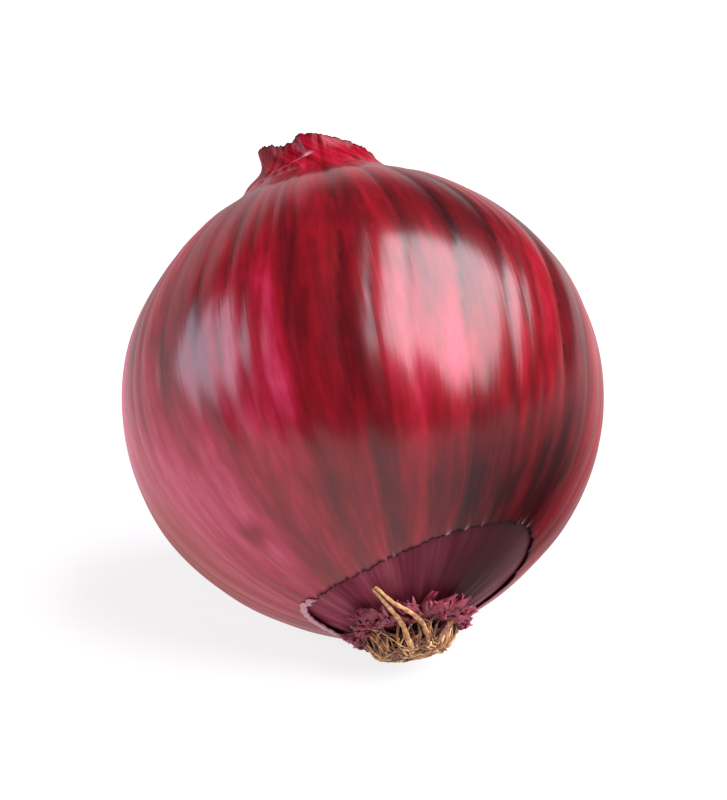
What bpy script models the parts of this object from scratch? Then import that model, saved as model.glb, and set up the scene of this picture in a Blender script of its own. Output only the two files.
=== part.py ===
"""A whole red onion, at rest on its side on a small flattened spot.

Run it with: blender --background --python part.py

The onion is drawn upright about its own axis, root end down and neck up, and an empty then lays it
down. A direction round the axis is a longitude in degrees: 0 is the side that faces the front (-Y)
and +90 the side that faces right (+X). The origin is the middle of the spot that it rests on, and
lengths are in metres.
"""

import math

import bpy
import numpy as np
from mathutils import Euler, Vector

MM = 0.001

# Driving dimensions.
WIDTH = 78.0 * MM  # across the widest line
LOWER = 40.6 * MM  # from the widest line down to the end that carries the root plate
UPPER = 37.8 * MM  # from the widest line up to the foot of the neck
NECK_RADIUS = 9.0 * MM  # of the dry collar, at its rim
NECK_LENGTH = 5.6 * MM  # from the foot of the neck to the middle of its rim
NECK_SLANT = 2.5 * MM  # how much higher the rim is on the left than in the middle
NECK_DIP = 1.3 * MM  # how far the rim drops on its front left, where it is folded in
NECK_DIP_LONGITUDE = -38.0
NECK_DIP_WIDTH = 20.0  # degrees, from its middle to where it is a third as deep
ROOT_END_RADIUS = 5.4 * MM  # of the flat end of the body under the root plate
SKIN = 0.35 * MM  # thickness of every papery piece
GAP = 0.3 * MM  # clearance between two pieces that touch in life
SPOT_RADIUS = 8.5 * MM  # of the flattened spot that the onion rests on

# How the onion lies: its neck leans back and to the left, and it is turned a little.
LEAN_BACK = 41.5  # degrees
LEAN_LEFT = 9.5
TURN = 5.0

# The tear in the outer skin at the root end: how far from the axis its edge is, at each longitude.
SKIN_END_RADIUS = 8.0 * MM  # where the skin ends, away from the tear
TEAR = (
    (-106.0, SKIN_END_RADIUS),
    (-86.0, 12.0 * MM),
    (-66.0, 16.3 * MM),
    (-42.0, 17.3 * MM),
    (-16.0, 18.1 * MM),
    (10.0, 20.5 * MM),
    (34.0, 23.0 * MM),
    (62.0, 24.0 * MM),
    (90.0, 20.0 * MM),
    (112.0, 13.0 * MM),
    (128.0, SKIN_END_RADIUS),
)

# Dry leaf ends that stand in the neck, inside the collar of the outer skin.
NECK_LEAVES = 3
NECK_LEAF_STEP = 1.9 * MM  # each one's radius is this much less than the one round it
NECK_LEAF_HEIGHTS = (-0.7 * MM, -1.6 * MM, -0.4 * MM)  # rim above or below the collar's own

# Root end.
PLATE_RADIUS = 6.2 * MM
PLATE_THICKNESS = 1.6 * MM
FRILLS = 7  # torn scraps of skin that stand up round the root plate
FRILL_LENGTH = 5.2 * MM
FRILL_LIFT = 0.9 * MM  # how far a scrap's tip stands off the onion
ROOTS = 12
ROOT_DIAMETER = 0.9 * MM
ROOT_CLEARANCE = 2.7 * MM  # from the onion's outline to a root's middle, above the scraps
ROOT_REACH = 8.2 * MM  # how far from the axis the longest root ends, added to the plate's radius
ROOT_REACH_UNDER = 0.4 * MM  # the same, on the side that faces the table

COLUMNS = 48  # grid lines round the onion
ROWS = 21  # grid lines from the root end to the neck, near enough for the gap to outlast the facets
SKIN_COLOUR = (0.26, 0.016, 0.033, 1.0)
FLESH_COLOUR = (0.17, 0.045, 0.065, 1.0)
NECK_COLOUR = (0.24, 0.03, 0.04, 1.0)
PLATE_COLOUR = (0.2, 0.11, 0.07, 1.0)
SCRAP_COLOUR = (0.2, 0.06, 0.07, 1.0)
ROOT_COLOUR = (0.5, 0.28, 0.16, 1.0)


def clear_scene():
    for thing in list(bpy.data.objects):
        bpy.data.objects.remove(thing, do_unlink=True)


def smooth_through(knots, values, at):
    """A smooth curve through the given points: a cubic on each span, with the slopes of the knots."""
    slopes = np.gradient(values, knots, axis=0)
    span = np.clip(np.searchsorted(knots, at, side="right") - 1, 0, len(knots) - 2)
    width = knots[span + 1] - knots[span]
    share = (at - knots[span]) / width
    if values.ndim > 1:
        share = share[:, None]
        width = width[:, None]
    return (
        (2 * share**3 - 3 * share**2 + 1) * values[span]
        + (share**3 - 2 * share**2 + share) * width * slopes[span]
        + (3 * share**2 - 2 * share**3) * values[span + 1]
        + (share**3 - share**2) * width * slopes[span + 1]
    )


class Outline:
    """The onion's side view, from its root end up to the rim of the neck, as (radius, height).

    A place on it is its share of the way along, from 0 to 1.
    """

    def __init__(self, neck_length):
        half = WIDTH / 2
        points = [(ROOT_END_RADIUS, -LOWER)]
        points += [
            (half * across, LOWER * along)
            for across, along in ((0.265, -0.935), (0.475, -0.825), (0.73, -0.63), (0.93, -0.34))
        ]
        points += [(half, 0.0)]
        points += [
            (half * across, UPPER * along)
            for across, along in ((0.94, 0.35), (0.76, 0.64), (0.56, 0.825))
        ]
        points += [
            (half * 0.185 + NECK_RADIUS * 0.87, UPPER * 0.93),
            (NECK_RADIUS * 1.3, UPPER * 0.99),
            (NECK_RADIUS * 1.09, UPPER + neck_length * 0.22),
            (NECK_RADIUS, UPPER + neck_length),
        ]
        self.points = np.array(points)
        lengths = np.hypot(*np.diff(self.points, axis=0).T)
        self.knots = np.concatenate(([0.0], np.cumsum(lengths))) / lengths.sum()

    def at(self, shares):
        return smooth_through(self.knots, self.points, np.atleast_1d(shares))

    def share_at_radius(self, radius):
        """The place near the root end where the outline is this far from the axis."""
        shares = np.linspace(0.0, 0.3, 301)
        return float(np.interp(radius, self.at(shares)[:, 0], shares))

    def share_at_height(self, height):
        """The place on the upper half where the outline is this high."""
        shares = np.linspace(0.6, 1.0, 401)
        return float(np.interp(height, self.at(shares)[:, 1], shares))


OUTLINE = Outline(NECK_LENGTH + NECK_SLANT + 1.0 * MM)


def out_from_axis(longitude):
    angle = np.radians(longitude)
    return np.sin(angle), -np.cos(angle)


def body_swell(longitude, height):
    """Shallow lobes left by the leaf bases, so that the body isn't a perfect turned shape."""
    angle = np.radians(longitude)
    roundness = np.clip(1.0 - (height / UPPER) ** 2, 0.0, 1.0)
    return 1.0 + roundness * (0.006 * np.cos(2 * angle + 0.6) + 0.004 * np.cos(3 * angle - 1.1))


def surface(shares, longitudes, inset=0.0):
    """Points of the body's surface, moved in by the inset along the outline's normal."""
    step = 1e-4
    points = OUTLINE.at(shares.ravel())
    along = OUTLINE.at(np.clip(shares.ravel() + step, 0, 1)) - OUTLINE.at(
        np.clip(shares.ravel() - step, 0, 1)
    )
    along /= np.hypot(along[:, 0], along[:, 1])[:, None]
    radius = (points[:, 0] - inset * along[:, 1]).reshape(shares.shape)
    height = (points[:, 1] + inset * along[:, 0]).reshape(shares.shape)
    radius = radius * body_swell(longitudes, height)
    across, away = out_from_axis(longitudes)
    return np.stack([radius * across, radius * away, height], axis=-1)


def laid_down():
    return Euler(
        (math.radians(-LEAN_BACK), math.radians(-LEAN_LEFT), math.radians(TURN)), "XYZ"
    ).to_matrix()


DOWN = np.array(laid_down().transposed() @ Vector((0, 0, -1)))  # in the upright onion's own frame


def find_resting_place():
    """The lowest point of the unpressed body, and how far down the table is from the centre."""
    shares, longitudes = np.meshgrid(np.linspace(0.0, 0.9, 181), np.arange(0.0, 360.0, 2.0))
    points = surface(shares, longitudes).reshape(-1, 3)
    depths = points @ DOWN
    lowest = points[depths.argmax()]
    pressed_in = SPOT_RADIUS**2 / WIDTH
    return lowest, depths.max() - pressed_in


LOWEST, TABLE = find_resting_place()


def pressed_flat(points, above=0.0):
    """Points lower than the table, or than a plane this far above it, come up to it."""
    over = np.clip(points @ DOWN - (TABLE - above), 0.0, None)
    return points - over[..., None] * DOWN


def material(name, colour, roughness):
    made = bpy.data.materials.new(name)
    made.use_nodes = True
    shader = made.node_tree.nodes["Principled BSDF"]
    shader.inputs["Base Color"].default_value = colour
    shader.inputs["Roughness"].default_value = roughness
    return made


def put_in_scene(name, data, finish, onion):
    thing = bpy.data.objects.new(name, data)
    thing.data.materials.append(finish)
    thing.parent = onion
    bpy.data.collections["red_onion"].objects.link(thing)
    return thing


def loft(name, rows, finish, onion, round_the_axis=True, closed_ends=False):
    """A skin over rows of points, whose faces look away from the axis.

    The rows run from the root end upwards, and each goes round by rising longitude.
    """
    rows = np.asarray(rows)
    count, columns = rows.shape[:2]
    points = [tuple(point) for point in rows.reshape(-1, 3)]
    last = columns if round_the_axis else columns - 1
    faces = []
    for row in range(count - 1):
        for column in range(last):
            right = (column + 1) % columns
            below, above = row * columns, (row + 1) * columns
            faces.append((below + column, below + right, above + right, above + column))
    if closed_ends:
        faces.append(tuple(reversed(range(columns))))
        faces.append(tuple((count - 1) * columns + column for column in range(columns)))
    mesh = bpy.data.meshes.new(name)
    mesh.from_pydata(points, [], faces)
    mesh.shade_smooth()
    return put_in_scene(name, mesh, finish, onion)


def papery(sheet, grows=-1.0):
    """Gives an open sheet the thickness of dry skin, inwards unless it grows out."""
    solid = sheet.modifiers.new("thickness", "SOLIDIFY")
    solid.thickness = SKIN
    solid.offset = grows
    solid.use_even_offset = True
    return sheet


def ragged(longitude, start, depth):
    """An uneven torn edge: three waves of unlike lengths, with their sum within the given depth."""
    angle = np.radians(longitude)
    waves = np.sin(3 * angle + start) + 0.7 * np.sin(7 * angle + 2.1 * start)
    return depth * (waves + 0.5 * np.sin(11 * angle + 3.3 * start)) / 2.2


def tear_radius(longitude):
    """How far from the axis the outer skin ends, at each longitude."""
    knots, radii = np.array(TEAR).T
    inside = np.clip(longitude, knots[0], knots[-1])
    return np.maximum(smooth_through(knots, radii, inside), SKIN_END_RADIUS * 0.98)


def round_longitudes():
    return np.linspace(-180.0, 180.0, COLUMNS, endpoint=False)


def rim_height(longitude):
    across, _ = out_from_axis(longitude)
    dip = NECK_DIP * np.exp(-(((longitude - NECK_DIP_LONGITUDE) / NECK_DIP_WIDTH) ** 2))
    return UPPER + NECK_LENGTH - NECK_SLANT * across - dip + ragged(longitude, 0.7, 0.6 * MM)


def make_bulb(finish, onion):
    """The fleshy body with its inner skin, one solid, closed by a dome inside the neck."""
    inset = SKIN + GAP
    shoulder = OUTLINE.share_at_height(UPPER * 0.96)
    shares, longitudes = np.meshgrid(
        np.linspace(0.0, shoulder, ROWS), round_longitudes(), indexing="ij"
    )
    rows = list(surface(shares, longitudes, inset))
    top = rows[-1]
    for share in (0.75, 0.45, 0.15):
        dome = top * np.array([share, share, 1.0])
        dome[:, 2] += (1 - share**2) * 1.6 * MM
        rows.append(dome)
    return loft("bulb", pressed_flat(np.array(rows), inset), finish, onion, closed_ends=True)


def make_outer_skin(finish, onion):
    """The papery outer skin, from its torn lower edge up to the ragged rim of the neck."""
    longitudes = round_longitudes()
    low = np.array([OUTLINE.share_at_radius(radius) for radius in tear_radius(longitudes)])
    low += ragged(longitudes, 2.4, 0.003)
    high = np.array([OUTLINE.share_at_height(height) for height in rim_height(longitudes)])
    shares = low + np.linspace(0.0, 1.0, ROWS)[:, None] * (high - low)
    grid = surface(shares, np.broadcast_to(longitudes, shares.shape))
    return papery(loft("outer_skin", pressed_flat(grid), finish, onion))


def make_neck_leaves(finish, onion):
    """Dry leaf ends, one inside another, each a ragged tube that stands on the bulb's dome."""
    longitudes = round_longitudes()[::2]
    across, away = out_from_axis(longitudes)
    foot = UPPER + 1.4 * MM
    for leaf in range(NECK_LEAVES):
        radius = NECK_RADIUS - SKIN - GAP - leaf * NECK_LEAF_STEP - 0.3 * MM
        rim = rim_height(longitudes) + NECK_LEAF_HEIGHTS[leaf] + ragged(longitudes, 1.9 * leaf, 0.5 * MM)
        rows = []
        for share in np.linspace(0.0, 1.0, 4):
            wavy = radius * (1.0 + 0.03 * share * np.sin(4 * np.radians(longitudes) + leaf))
            rows.append(np.stack([wavy * across, wavy * away, foot + share * (rim - foot)], axis=-1))
        papery(loft(f"neck_leaf_{leaf + 1}", rows, finish, onion))


def make_root_plate(finish, onion):
    """The corky disc that the roots grow from: a turned shape, domed at its outer face."""
    top = -LOWER - GAP
    profile = [
        (0.0, top),
        (ROOT_END_RADIUS, top),
        (PLATE_RADIUS, top - PLATE_THICKNESS * 0.35),
        (PLATE_RADIUS * 0.86, top - PLATE_THICKNESS * 0.8),
        (PLATE_RADIUS * 0.5, top - PLATE_THICKNESS),
        (0.0, top - PLATE_THICKNESS),
    ]
    mesh = bpy.data.meshes.new("root_plate")
    edges = [(step, step + 1) for step in range(len(profile) - 1)]
    mesh.from_pydata([(radius, 0.0, height) for radius, height in profile], edges, [])
    plate = put_in_scene("root_plate", mesh, finish, onion)
    turned = plate.modifiers.new("turned", "SCREW")
    turned.steps = turned.render_steps = 24
    turned.use_merge_vertices = True
    turned.merge_threshold = 0.00001
    return plate


def make_frills(finish, onion):
    """Torn scraps of skin round the root plate: each starts on the onion and curls off it."""
    width = 360.0 / FRILLS * 0.62
    start = OUTLINE.share_at_radius(PLATE_RADIUS + 0.9 * MM)
    for frill in range(FRILLS):
        middle = -16.0 + frill * 360.0 / FRILLS
        under = 0.5 - 0.5 * float(np.dot(out_from_axis(middle), DOWN[:2])) / math.hypot(*DOWN[:2])
        length = FRILL_LENGTH * (0.45 + 0.55 * under)
        end = OUTLINE.share_at_radius(PLATE_RADIUS + 0.9 * MM + length)
        rows = []
        for share in np.linspace(0.0, 1.0, 4):
            narrowing = 1.0 - 0.45 * share
            longitudes = middle + np.linspace(-0.5, 0.5, 5) * width * narrowing
            stands_off = GAP * 1.5 + FRILL_LIFT * share**1.5
            notch = (end - start) * 0.16 * share * np.array([-1.0, 0.6, -0.4, 0.9, -0.8])
            shares = start + share * (end - start) + notch
            rows.append(surface(shares, longitudes, -stands_off))
        papery(loft(f"skin_scrap_{frill + 1}", rows, finish, onion, round_the_axis=False), 1.0)


def root_route(number):
    """A root's middle line: out of the plate's face, over its edge and along the onion's end."""
    longitude = -20.0 + number * 360.0 / ROOTS
    across, away = out_from_axis(longitude)
    under = 0.5 - 0.5 * float(across * DOWN[0] + away * DOWN[1]) / math.hypot(*DOWN[:2])
    reach = ROOT_REACH_UNDER + (ROOT_REACH - ROOT_REACH_UNDER) * under**1.5
    reach *= (1.0, 0.7, 0.85, 0.6)[number % 4]
    start_radius = PLATE_RADIUS * (0.72 if number % 2 else 0.45)
    end_radius = PLATE_RADIUS + max(reach, ROOT_REACH_UNDER)
    face = -LOWER - GAP - PLATE_THICKNESS - GAP - ROOT_DIAMETER / 2
    route = []
    for share in np.linspace(0.0, 1.0, 9):
        radius = start_radius + share * (end_radius - start_radius)
        if radius > PLATE_RADIUS:
            place = surface(
                np.array([OUTLINE.share_at_radius(radius)]), np.array([longitude]), -ROOT_CLEARANCE
            )[0]
            height = min(float(place[2]), face + (radius - PLATE_RADIUS) * 1.2)
        else:
            height = face
        height -= 0.7 * MM * math.sin(math.pi * share)
        swing = 5.0 * math.sin(2.2 * math.pi * share + number) * share
        side, back = out_from_axis(longitude + swing)
        route.append((radius * side, radius * back, height))
    return route


def make_roots(finish, onion):
    for number in range(ROOTS):
        name = f"root_{number + 1:02d}"
        curve = bpy.data.curves.new(name, "CURVE")
        curve.dimensions = "3D"
        curve.bevel_depth = ROOT_DIAMETER / 2
        curve.bevel_resolution = 1
        curve.use_fill_caps = True
        route = root_route(number)
        spline = curve.splines.new("POLY")
        spline.points.add(len(route) - 1)
        for step, (point, place) in enumerate(zip(spline.points, route)):
            point.co = (*place, 1.0)
            point.radius = 1.0 - 0.55 * step / (len(route) - 1)
        put_in_scene(name, curve, finish, onion)


def make_onion():
    clear_scene()
    collection = bpy.data.collections.new("red_onion")
    bpy.context.scene.collection.children.link(collection)
    onion = bpy.data.objects.new("onion_axis", None)
    collection.objects.link(onion)
    onion.rotation_euler = laid_down().to_euler()
    resting_point = LOWEST + (TABLE - LOWEST @ DOWN) * DOWN
    onion.location = -(laid_down() @ Vector(resting_point))

    dry_skin = material("dry_skin", SKIN_COLOUR, 0.35)
    make_outer_skin(dry_skin, onion)
    make_bulb(material("inner_skin", FLESH_COLOUR, 0.3), onion)
    make_neck_leaves(material("neck_leaf", NECK_COLOUR, 0.5), onion)
    make_root_plate(material("corky_plate", PLATE_COLOUR, 0.9), onion)
    make_frills(material("skin_scrap", SCRAP_COLOUR, 0.6), onion)
    make_roots(material("root_fibre", ROOT_COLOUR, 0.8), onion)


make_onion()
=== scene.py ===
# %% [markdown]
# # A whole red onion
#
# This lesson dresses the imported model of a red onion: a papery outer skin torn open at the root
# end, the fleshy bulb that shows through the tear, dry leaf ends in the neck, and a tuft of roots.
# A real onion is a set of thin, thick and thread-like things round one axis. So nearly every piece
# here is a surface worked out from two numbers, a longitude round that axis and a share of the way
# from the roots to the neck, and only at the end is the whole onion laid on its side.

# %% Load the frame
import math

import bpy
import numpy as np
from mathutils import Euler, Matrix, Vector


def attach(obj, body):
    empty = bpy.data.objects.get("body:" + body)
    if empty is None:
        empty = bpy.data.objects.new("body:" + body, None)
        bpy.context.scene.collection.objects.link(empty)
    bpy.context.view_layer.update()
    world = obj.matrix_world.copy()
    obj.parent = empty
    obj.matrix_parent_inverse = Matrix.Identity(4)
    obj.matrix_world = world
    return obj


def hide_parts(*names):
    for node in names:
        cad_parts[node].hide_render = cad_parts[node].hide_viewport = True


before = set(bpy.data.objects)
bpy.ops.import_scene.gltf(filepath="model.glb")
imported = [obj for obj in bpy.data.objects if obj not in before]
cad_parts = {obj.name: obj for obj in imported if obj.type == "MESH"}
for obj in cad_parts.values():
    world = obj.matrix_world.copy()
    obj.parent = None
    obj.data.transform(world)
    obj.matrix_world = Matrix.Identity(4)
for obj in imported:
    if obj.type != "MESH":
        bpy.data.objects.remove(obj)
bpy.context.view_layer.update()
print("frame loaded:", len(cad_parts), "nodes")

# %% [markdown]
# ## The sizes, and how the onion lies
#
# The design gives these sizes. The onion stands upright about its own Z axis while it is made:
# longitude 0 faces the front, +90 the right. The neck then leans back and to the left.

# %% Sizes in metres, angles in degrees
MM = 0.001
HALF = 39.0 * MM  # half the widest line
LOWER = 40.6 * MM  # from the widest line down to the roots
UPPER = 37.8 * MM  # and up to the foot of the neck
NECK_RADIUS = 9.0 * MM
NECK_LENGTH = 5.6 * MM
NECK_SLANT = 2.5 * MM  # how much higher the rim is at its left
NECK_DIP = 1.3 * MM  # how far the rim drops at its front left
ROOT_END_RADIUS = 5.4 * MM
SKIN_GAP = 0.65 * MM  # from the outer surface of the dry skin to the bulb
PLATE_RADIUS = 6.2 * MM
PLATE_TOP = -LOWER - 0.3 * MM
PLATE_THICKNESS = 1.6 * MM
SKIN_END_RADIUS = 8.0 * MM  # where untorn skin ends, round the roots
SPOT_RADIUS = 8.5 * MM  # of the flat that the onion rests on
LEAN_BACK, LEAN_LEFT, TURN = 41.5, 9.5, 5.0

LAY_DOWN = np.array(
    Euler(
        (math.radians(-LEAN_BACK), math.radians(-LEAN_LEFT), math.radians(TURN)), "XYZ"
    ).to_matrix()
)
DOWN = -LAY_DOWN[2]  # which way the table is, for the upright onion
TO_TABLE = DOWN[:2] / np.hypot(*DOWN[:2])  # the same, seen along the onion's axis
print("widest line", round(2 * HALF / MM, 1), "mm across, leaning back", LEAN_BACK, "degrees")

# %% [markdown]
# ## The outline
#
# Seen from the side, an onion is a ball drawn out a little towards the roots, with a collar at the
# top. A lathe profile through a dozen points says that well. Between two points the curve is a
# cubic whose slopes come from their neighbours, so it passes through every point without a corner.

# %% A smooth curve through points, and the onion's outline
def smooth_through(knots, values, at):
    """On each span: a cubic that meets both ends with the slope of their neighbours."""
    slopes = np.gradient(values, knots, axis=0)
    span = np.clip(np.searchsorted(knots, at, side="right") - 1, 0, len(knots) - 2)
    width = knots[span + 1] - knots[span]
    share = (at - knots[span]) / width
    if values.ndim > 1:
        share, width = share[..., None], width[..., None]
    return (
        (2 * share**3 - 3 * share**2 + 1) * values[span]
        + (share**3 - 2 * share**2 + share) * width * slopes[span]
        + (3 * share**2 - 2 * share**3) * values[span + 1]
        + (share**3 - share**2) * width * slopes[span + 1]
    )


LOWER_SHAPE = ((0.265, -0.935), (0.475, -0.825), (0.73, -0.63), (0.93, -0.34))
UPPER_SHAPE = ((0.94, 0.35), (0.76, 0.64), (0.56, 0.825))
NECK_TUBE = NECK_LENGTH + NECK_SLANT + 1.0 * MM
PROFILE = np.array(
    [(ROOT_END_RADIUS, -LOWER)]
    + [(HALF * across, LOWER * along) for across, along in LOWER_SHAPE]
    + [(HALF, 0.0)]
    + [(HALF * across, UPPER * along) for across, along in UPPER_SHAPE]
    + [(HALF * 0.185 + NECK_RADIUS * 0.87, UPPER * 0.93), (NECK_RADIUS * 1.3, UPPER * 0.99)]
    + [(NECK_RADIUS * 1.09, UPPER + NECK_TUBE * 0.22)]
    + [(NECK_RADIUS, UPPER + NECK_TUBE)]
)
STEPS = np.hypot(*np.diff(PROFILE, axis=0).T)
OUTLINE_LENGTH = STEPS.sum()
KNOTS = np.concatenate(([0.0], np.cumsum(STEPS))) / OUTLINE_LENGTH


def outline(share):
    """(radius, height) at a share of the way from the root end to the rim of the neck."""
    return smooth_through(KNOTS, PROFILE, np.asarray(share, float))


def share_at_radius(radius):
    """The share near the root end where the outline is this far from the axis."""
    shares = np.linspace(0.0, 0.3, 601)
    return np.interp(radius, outline(shares)[:, 0], shares)


def share_at_height(height):
    """The share on the upper half where the outline is this high."""
    shares = np.linspace(0.6, 1.0, 801)
    return np.interp(height, outline(shares)[:, 1], shares)


print("outline is", round(OUTLINE_LENGTH / MM, 1), "mm long")

# %% [markdown]
# ## The surface of revolution, and what bends it
#
# A turned shape looks like plastic. Three things make it grown: shallow lobes from the leaf bases,
# long flutes that run from root to neck, and the flattened spot that it rests on. All of them are
# sums of waves round the axis, so they meet themselves after a full turn without a seam.

# %% Waves, and a point of the surface
def waves(longitude, seed, lowest, highest, fall=1.0):
    """A sum of cosines round the axis, of seeded phases, each weaker by its number to a power.

    The result lies within about -1 and 1.
    """
    picks = np.random.default_rng(seed)
    numbers = np.arange(lowest, highest + 1)
    sizes = numbers ** -float(fall) * picks.uniform(0.4, 1.0, len(numbers))
    phases = picks.uniform(0.0, 2 * math.pi, len(numbers))
    angle = np.radians(np.asarray(longitude, float))
    total = sum(s * np.cos(n * angle + p) for n, s, p in zip(numbers, sizes, phases))
    return total / np.sqrt((sizes**2).sum()) / 1.8


def out_from_axis(longitude):
    """X and Y of the unit step out from the axis: longitude 0 is the front, -Y."""
    angle = np.radians(longitude)
    return np.sin(angle), -np.cos(angle)


def degrees_from(longitude, middle):
    """Degrees to the right of the middle, between -180 and 180."""
    return (longitude - middle + 180.0) % 360.0 - 180.0


def upper_side(longitude):
    """1 on the side of the axis that is away from the table, 0 on the side next to it."""
    return 0.5 - 0.5 * (np.array(out_from_axis(longitude)).T @ TO_TABLE)


def fade(value, start, end):
    """0 at the start and 1 at the end, with an S-shaped rise between."""
    share = np.clip((value - start) / (end - start), 0.0, 1.0)
    return share * share * (3 - 2 * share)


def surface(share, longitude, lift=0.0):
    """Radius and height from the outline, moved out by the lift along its normal, then turned."""
    share, longitude, lift = np.broadcast_arrays(share, longitude, lift)
    step = 1e-4
    place = outline(share)
    along = outline(np.clip(share + step, 0, 1)) - outline(np.clip(share - step, 0, 1))
    along = along / np.linalg.norm(along, axis=-1, keepdims=True)
    radius = place[..., 0] + lift * along[..., 1]
    height = place[..., 1] - lift * along[..., 0]
    angle = np.radians(longitude)
    roundness = np.clip(1.0 - (height / UPPER) ** 2, 0.0, 1.0)
    lobes = 0.006 * np.cos(2 * angle + 0.6) + 0.004 * np.cos(3 * angle - 1.1)
    radius = radius * (1.0 + roundness * lobes)
    across, away = out_from_axis(longitude)
    return np.stack([radius * across, radius * away, height], axis=-1)


def find_table():
    """The lowest point of the unpressed body, and how far the table is from the centre."""
    shares, longitudes = np.meshgrid(np.linspace(0.0, 0.9, 181), np.arange(0.0, 360.0, 2.0))
    points = surface(shares, longitudes).reshape(-1, 3)
    depths = points @ DOWN
    return points[depths.argmax()], depths.max() - SPOT_RADIUS**2 / (2 * HALF)


LOWEST, TABLE = find_table()
RESTING_POINT = LOWEST + (TABLE - LOWEST @ DOWN) * DOWN


def laid_down(points, above=0.0):
    """Presses what is lower than the table up to it, and turns the upright onion onto its side."""
    over = np.clip(points @ DOWN - (TABLE - above), 0.0, None)
    pressed = points - over[..., None] * DOWN
    return (pressed - RESTING_POINT) @ LAY_DOWN.T


BODY_CENTRE = Vector(laid_down(np.zeros(3)))
print("middle of the body is at", [round(c / MM, 1) for c in BODY_CENTRE], "mm")

# %% [markdown]
# ## From grids to meshes
#
# Every piece starts as a grid of points: rows along the onion, columns round it. One function
# turns such a grid into a mesh, and stores on each point what the materials will read. `grain`
# is a place on a cylinder one unit in radius: two numbers go round with the longitude and the third
# runs along the skin, so that a noise stretched along it follows the veins of the leaf.

# %% Mesh helpers
def faces_of_grid(rows, columns, around=True, ring=False):
    """Four corners for each cell. Around joins the last column to the first, ring the rows."""
    row = np.arange(rows if ring else rows - 1)[:, None]
    column = np.arange(columns if around else columns - 1)[None, :]
    above, right = (row + 1) % rows, (column + 1) % columns
    corners = [
        row * columns + column,
        row * columns + right,
        above * columns + right,
        above * columns + column,
    ]
    return np.stack(np.broadcast_arrays(*corners), axis=-1).reshape(-1, 4)


def capped_faces(rows, columns, first=0):
    """The faces of a tube whose points start at the first, with a lid on each end."""
    faces = (faces_of_grid(rows, columns) + first).tolist()
    faces.append((first + np.arange(columns)[::-1]).tolist())
    faces.append((first + (rows - 1) * columns + np.arange(columns)).tolist())
    return faces


def add_piece(name, points, faces, finish, marks):
    """A mesh object at the origin, with one attribute for each mark."""
    mesh = bpy.data.meshes.new(name)
    mesh.from_pydata(np.asarray(points, float).reshape(-1, 3).tolist(), [], faces)
    for mark, values in marks.items():
        values = np.asarray(values, np.float32)
        kind, field = ("FLOAT_VECTOR", "vector") if values.shape[-1] == 3 else ("FLOAT", "value")
        data = mesh.attributes.new(mark, kind, "POINT").data
        data.foreach_set(field, values.ravel())
    mesh.shade_smooth()
    mesh.materials.append(finish)
    piece = bpy.data.objects.new(name, mesh)
    bpy.context.scene.collection.objects.link(piece)
    print(name, len(mesh.vertices), "points")
    return piece


def grain_of(share, longitude):
    """The cylinder place that the materials read, with lengths in half-widths of the onion."""
    share, longitude = np.broadcast_arrays(share, longitude)
    across, away = out_from_axis(longitude)
    return np.stack([across, away, share * OUTLINE_LENGTH / HALF], axis=-1)


def normals_of(grid, around=True):
    """Outward normals of a grid, from the differences between neighbours."""
    if around:
        wide = np.concatenate([grid[:, -1:], grid, grid[:, :1]], axis=1)
        sideways = wide[:, 2:] - wide[:, :-2]
    else:
        sideways = np.gradient(grid, axis=1)
    normal = np.cross(sideways, np.gradient(grid, axis=0))
    return normal / np.maximum(np.linalg.norm(normal, axis=-1, keepdims=True), 1e-12)


# %% [markdown]
# ## From patterns to materials
#
# A finish is a few patterns, added up into one number that picks a colour from a ramp, with thin
# layers of other colours over it. Each pattern is noise, stretched to the size of the real thing.

# %% Material helpers
def colour(hexadecimal):
    """An sRGB hex colour as the linear RGBA that a shader takes."""
    parts = [int(hexadecimal[i : i + 2], 16) / 255 for i in (1, 3, 5)]
    return (*[p / 12.92 if p <= 0.04045 else ((p + 0.055) / 1.055) ** 2.4 for p in parts], 1.0)


def add_node(owner, kind, out=0, settings=None, stops=(), **inputs):
    """Adds a node with its settings and links, and returns the output that is asked for.

    Settings are the node's own properties, and stops are a ramp's places and hex colours. An input
    takes a value or another node's output, and is named by its words or, as in_0, by its number.
    """
    node = owner.node_tree.nodes.new("ShaderNode" + kind)
    for key, value in (settings or {}).items():
        setattr(node, key, value)
    for index, (place, hexadecimal) in enumerate(stops):
        elements = node.color_ramp.elements
        element = elements[index] if index < 2 else elements.new(place)
        element.position, element.color = place, colour(hexadecimal)
    names = {socket.name.lower().replace(" ", "_"): socket for socket in reversed(node.inputs)}
    for key, value in inputs.items():
        socket = node.inputs[int(key[3:])] if key.startswith("in_") else names[key]
        if isinstance(value, bpy.types.NodeSocket):
            owner.node_tree.links.new(value, socket)
        else:
            socket.default_value = value
    return node.outputs[out]


def new_material(name, **constants):
    """An empty material with a Principled shader, whose constant values go on its own sockets."""
    material = bpy.data.materials.new(name)
    material.use_nodes = True
    for key, value in constants.items():
        socket = material.node_tree.nodes["Principled BSDF"].inputs[key.replace("_", " ")]
        socket.default_value = value
    return material


def feed_shader(material, **patterns):
    """Links each pattern to the shader's input of that name."""
    shader = material.node_tree.nodes["Principled BSDF"]
    for key, pattern in patterns.items():
        material.node_tree.links.new(pattern, shader.inputs[key.replace("_", " ")])


def streaks(material, width, length, detail, shift):
    """Noise on the grain, whose spots are stretched along the skin to the given size in metres."""
    grain = add_node(material, "Attribute", "Vector", {"attribute_name": "grain"})
    place = add_node(
        material,
        "Mapping",
        vector=grain,
        scale=(1.0, 1.0, width / length),
        location=(shift, shift, shift),
    )
    return add_node(material, "TexNoise", "Fac", vector=place, scale=HALF / width, detail=detail)


def weighted(material, start, parts):
    """A starting value plus each pattern times its weight."""
    total = start
    for pattern, weight in parts:
        settings = {"operation": "MULTIPLY_ADD"}
        total = add_node(material, "Math", 0, settings, in_0=pattern, in_1=weight, in_2=total)
    return total


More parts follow.
